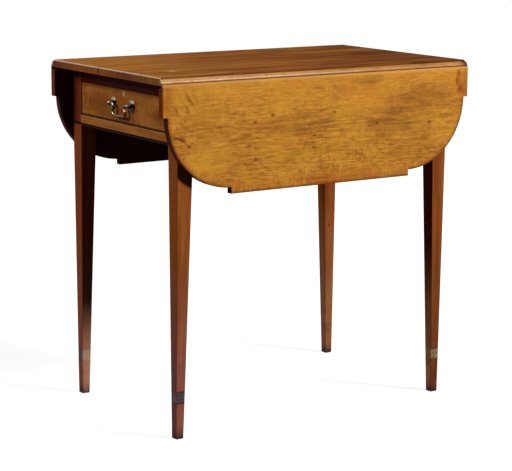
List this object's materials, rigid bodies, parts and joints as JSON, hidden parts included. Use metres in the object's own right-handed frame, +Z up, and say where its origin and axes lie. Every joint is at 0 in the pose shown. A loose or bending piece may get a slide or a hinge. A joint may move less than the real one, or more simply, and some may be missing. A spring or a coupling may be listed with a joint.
{
  "type": "pembroke table",
  "caption": "Drop-leaf side table on square tapered legs, with rule-jointed flaps, swinging flap brackets and a frieze drawer with a bail handle.",
  "frame": {"origin": "on the floor under the middle of the top", "axes": "+Z up; -Y out of the drawer end; the flaps hang at -X and +X"},
  "size_m": [0.456, 0.74, 0.715],
  "materials": {
    "top_wood": "polished brown wood, long grain",
    "leaf_wood": "polished golden figured wood",
    "leg_wood": "polished red-brown wood",
    "drawer_wood": "polished golden brown veneer",
    "rail_wood": "polished brown veneer",
    "dark_inlay": "ebonised inlay",
    "oak": "dry oak, unfinished",
    "pine": "aged pine, unfinished",
    "beech": "aged beech, unfinished",
    "brass": "aged polished brass",
    "iron": "dark wrought iron"
  },
  "bodies": {
    "frame": {"back_handle_nuts": "brass", "back_handle_posts": "brass", "back_handle_roses": "brass", "back_rail": "rail_wood", "back_stringing": "dark_inlay", "cuff_back_left": "dark_inlay", "cuff_back_right": "dark_inlay", "cuff_front_left": "dark_inlay", "cuff_front_right": "dark_inlay", "drawer_kicker_left": "pine", "drawer_kicker_right": "pine", "drawer_lower_rail": "rail_wood", "drawer_runner_left": "pine", "drawer_runner_right": "pine", "drawer_stops": "pine", "drawer_top_rail": "rail_wood", "false_drawer_front": "drawer_wood", "fly_pin_left": "iron", "fly_pin_right": "iron", "fly_rail_left": "beech", "fly_rail_right": "beech", "fly_rail_screws": "iron", "front_stringing": "dark_inlay", "glue_blocks": "pine", "hinge_pins_left": "iron", "hinge_pins_right": "iron", "hinge_top_plates_left": "iron", "hinge_top_plates_right": "iron", "hinge_top_screws": "iron", "leg_back_left": "leg_wood", "leg_back_right": "leg_wood", "leg_front_left": "leg_wood", "leg_front_right": "leg_wood", "side_rail_left": "pine", "side_rail_right": "pine", "table_top": "top_wood", "top_screws": "iron"},
    "leaf_left": {"leaf_left": "leaf_wood", "hinge_leaf_plates_left": "iron", "hinge_leaf_screws_left": "iron"},
    "leaf_right": {"leaf_right": "leaf_wood", "hinge_leaf_plates_right": "iron", "hinge_leaf_screws_right": "iron"},
    "drawer": {"drawer_front": "drawer_wood", "drawer_side_left": "oak", "drawer_side_right": "oak", "drawer_back": "oak", "drawer_bottom": "oak", "drawer_handle_roses": "brass", "drawer_handle_posts": "brass", "drawer_handle_nuts": "brass", "escutcheon": "brass", "lock_case": "iron", "lock_screws": "iron"},
    "drawer_bail": {"drawer_bail": "brass"},
    "back_bail": {"back_bail": "brass"},
    "lock_bolt": {"lock_bolt": "iron"},
    "fly_bracket_left": {"fly_bracket_left": "beech"},
    "fly_bracket_right": {"fly_bracket_right": "beech"}
  },
  "joints": [
    {"name": "leaf_left_hinge", "type": "hinge", "parent": "frame", "child": "leaf_left", "pos_m": [-0.216, 0, 0.703], "axis": [0, 1, 0], "range_deg": [0, 90]},
    {"name": "leaf_right_hinge", "type": "hinge", "parent": "frame", "child": "leaf_right", "pos_m": [0.216, 0, 0.703], "axis": [0, -1, 0], "range_deg": [0, 90]},
    {"name": "drawer_slide", "type": "slide", "parent": "frame", "child": "drawer", "axis": [0, -1, 0], "range_m": [0, 0.4]},
    {"name": "drawer_bail_swing", "type": "hinge", "parent": "drawer", "child": "drawer_bail", "pos_m": [0, -0.337, 0.6407], "axis": [-1, 0, 0], "range_deg": [-14, 165]},
    {"name": "back_bail_swing", "type": "hinge", "parent": "frame", "child": "back_bail", "pos_m": [0, 0.337, 0.6407], "axis": [1, 0, 0], "range_deg": [-14, 165]},
    {"name": "lock_bolt_slide", "type": "slide", "parent": "drawer", "child": "lock_bolt", "axis": [0, 0, 1], "range_m": [0, 0.006]},
    {"name": "fly_bracket_left_swing", "type": "hinge", "parent": "frame", "child": "fly_bracket_left", "pos_m": [-0.1964, -0.062, 0.64], "axis": [0, 0, -1], "range_deg": [0, 2]},
    {"name": "fly_bracket_right_swing", "type": "hinge", "parent": "frame", "child": "fly_bracket_right", "pos_m": [0.1964, 0.062, 0.64], "axis": [0, 0, -1], "range_deg": [0, 2]}
  ]
}
